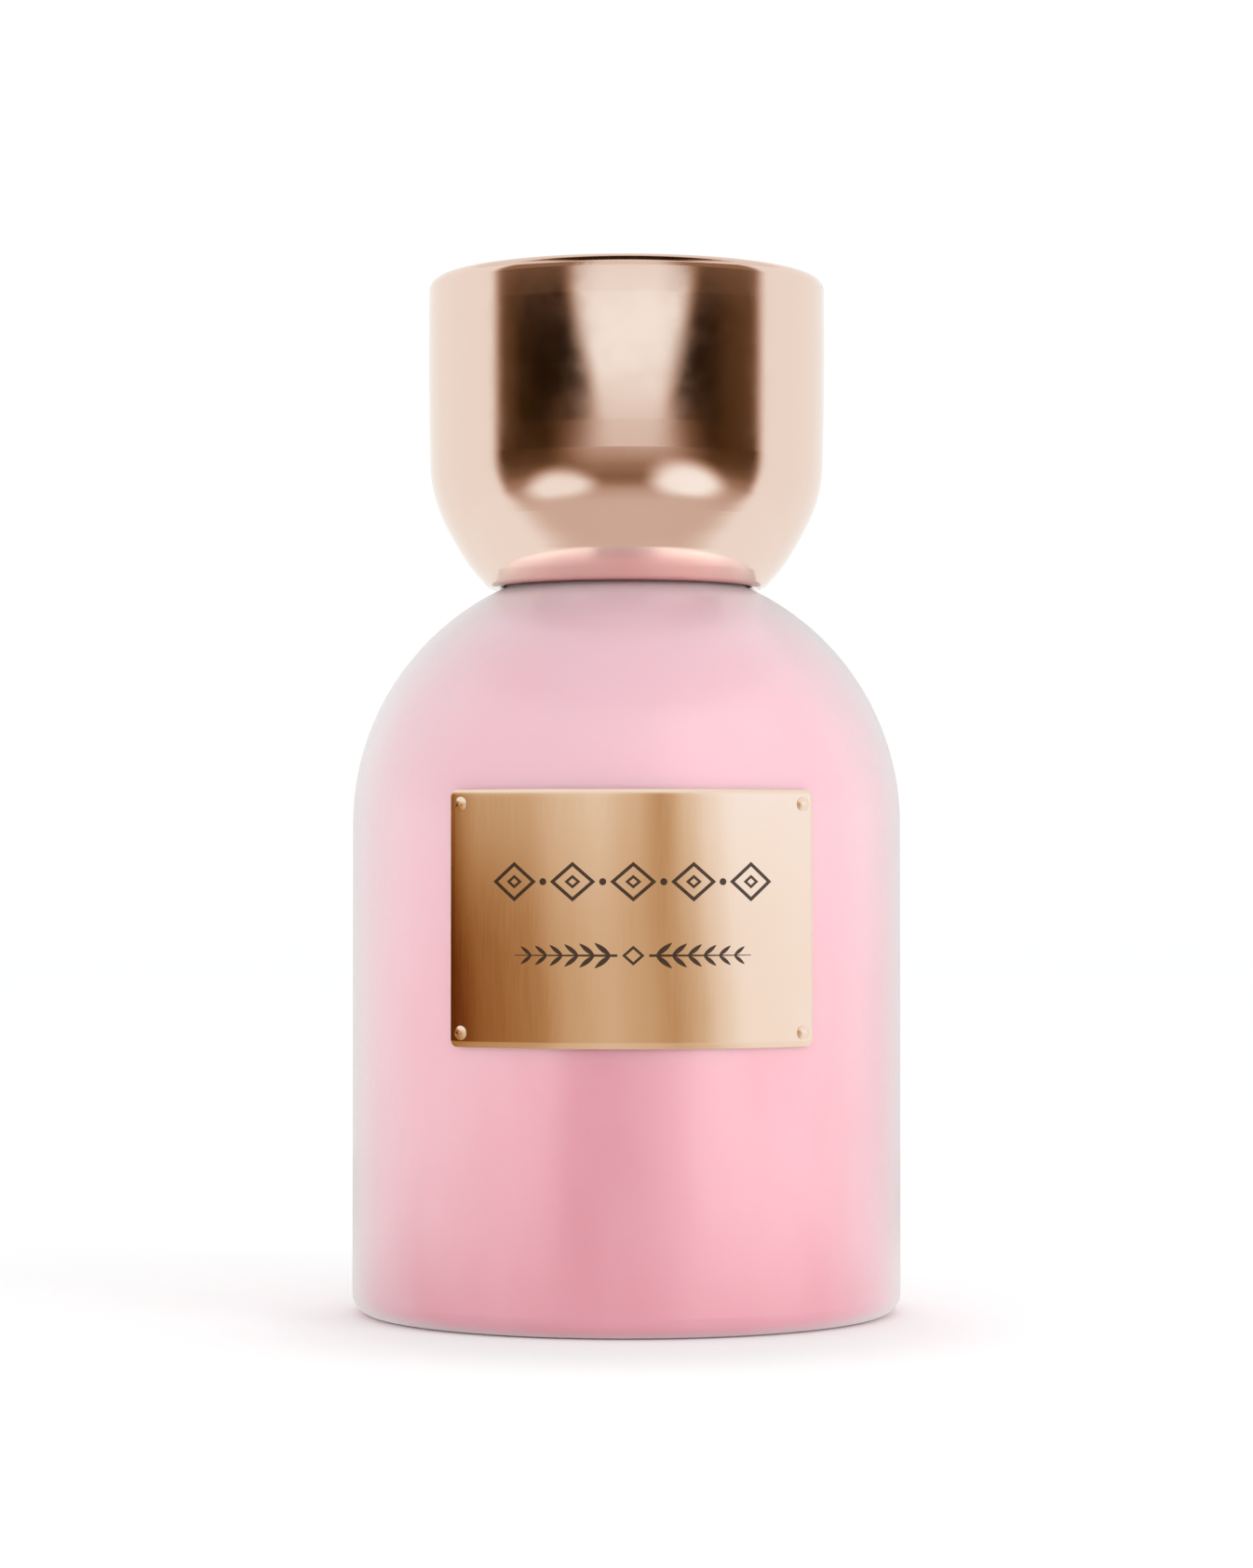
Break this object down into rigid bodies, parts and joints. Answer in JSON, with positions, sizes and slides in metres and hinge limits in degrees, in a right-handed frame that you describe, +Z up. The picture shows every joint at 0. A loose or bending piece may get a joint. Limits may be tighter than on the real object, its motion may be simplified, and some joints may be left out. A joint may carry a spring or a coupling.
{
  "type": "perfume atomiser",
  "caption": "Round-shouldered frosted glass perfume bottle with a crimped spray pump, press-down actuator, pull-off metal cap and a riveted front plate.",
  "frame": {"origin": "centre of the base, on the bottle's axis, in the plane it stands on", "axes": "+Z up along the bottle's axis, front with the plate and nozzle towards -Y, +X to the viewer's right"},
  "size_m": [0.044, 0.0445, 0.083],
  "materials": {
    "pink_glass": "satin",
    "rose_gold": "polished",
    "gold_plate": "satin",
    "steel": "plain",
    "white_plastic": "moulded",
    "clear_plastic": "natural",
    "seal_rubber": "matte",
    "adhesive": "matte"
  },
  "bodies": {
    "bottle": {"glass_bottle": "pink_glass", "neck_gasket": "seal_rubber", "pump_housing": "clear_plastic", "dip_tube": "clear_plastic", "return_spring": "steel", "stem_seal": "seal_rubber", "turret": "white_plastic", "crimp_ferrule": "rose_gold", "collar_insert": "white_plastic", "decor_collar": "rose_gold", "name_plate": "gold_plate", "plate_adhesive": "adhesive", "plate_rivets": "gold_plate"},
    "cap": {"cap_shell": "rose_gold", "cap_liner": "white_plastic", "cap_weight": "steel"},
    "actuator": {"actuator_shell": "rose_gold", "actuator_button": "white_plastic", "nozzle_insert": "white_plastic", "stem": "white_plastic", "plunger": "white_plastic"},
    "pump_piston": {"piston": "white_plastic", "precompression_spring": "steel"},
    "ball": {"inlet_ball": "steel"}
  },
  "joints": [
    {"name": "cap_lift", "type": "slide", "parent": "bottle", "child": "cap", "axis": [0, 0, 1], "range_m": [0, 0.03]},
    {"name": "spray_press", "type": "slide", "parent": "bottle", "child": "actuator", "axis": [0, 0, -1], "range_m": [0, 0.004], "stiffness_N_per_m": 800, "deforming": ["return_spring", "precompression_spring"]},
    {"name": "piston_slide", "type": "slide", "parent": "bottle", "child": "pump_piston", "axis": [0, 0, -1], "range_m": [0, 0.0034]},
    {"name": "ball_lift", "type": "slide", "parent": "bottle", "child": "ball", "axis": [0, 0, 1], "range_m": [0, 0.0008]}
  ],
  "couplings": [
    {"joint": "piston_slide", "follows": "spray_press", "ratio": 0.85}
  ]
}
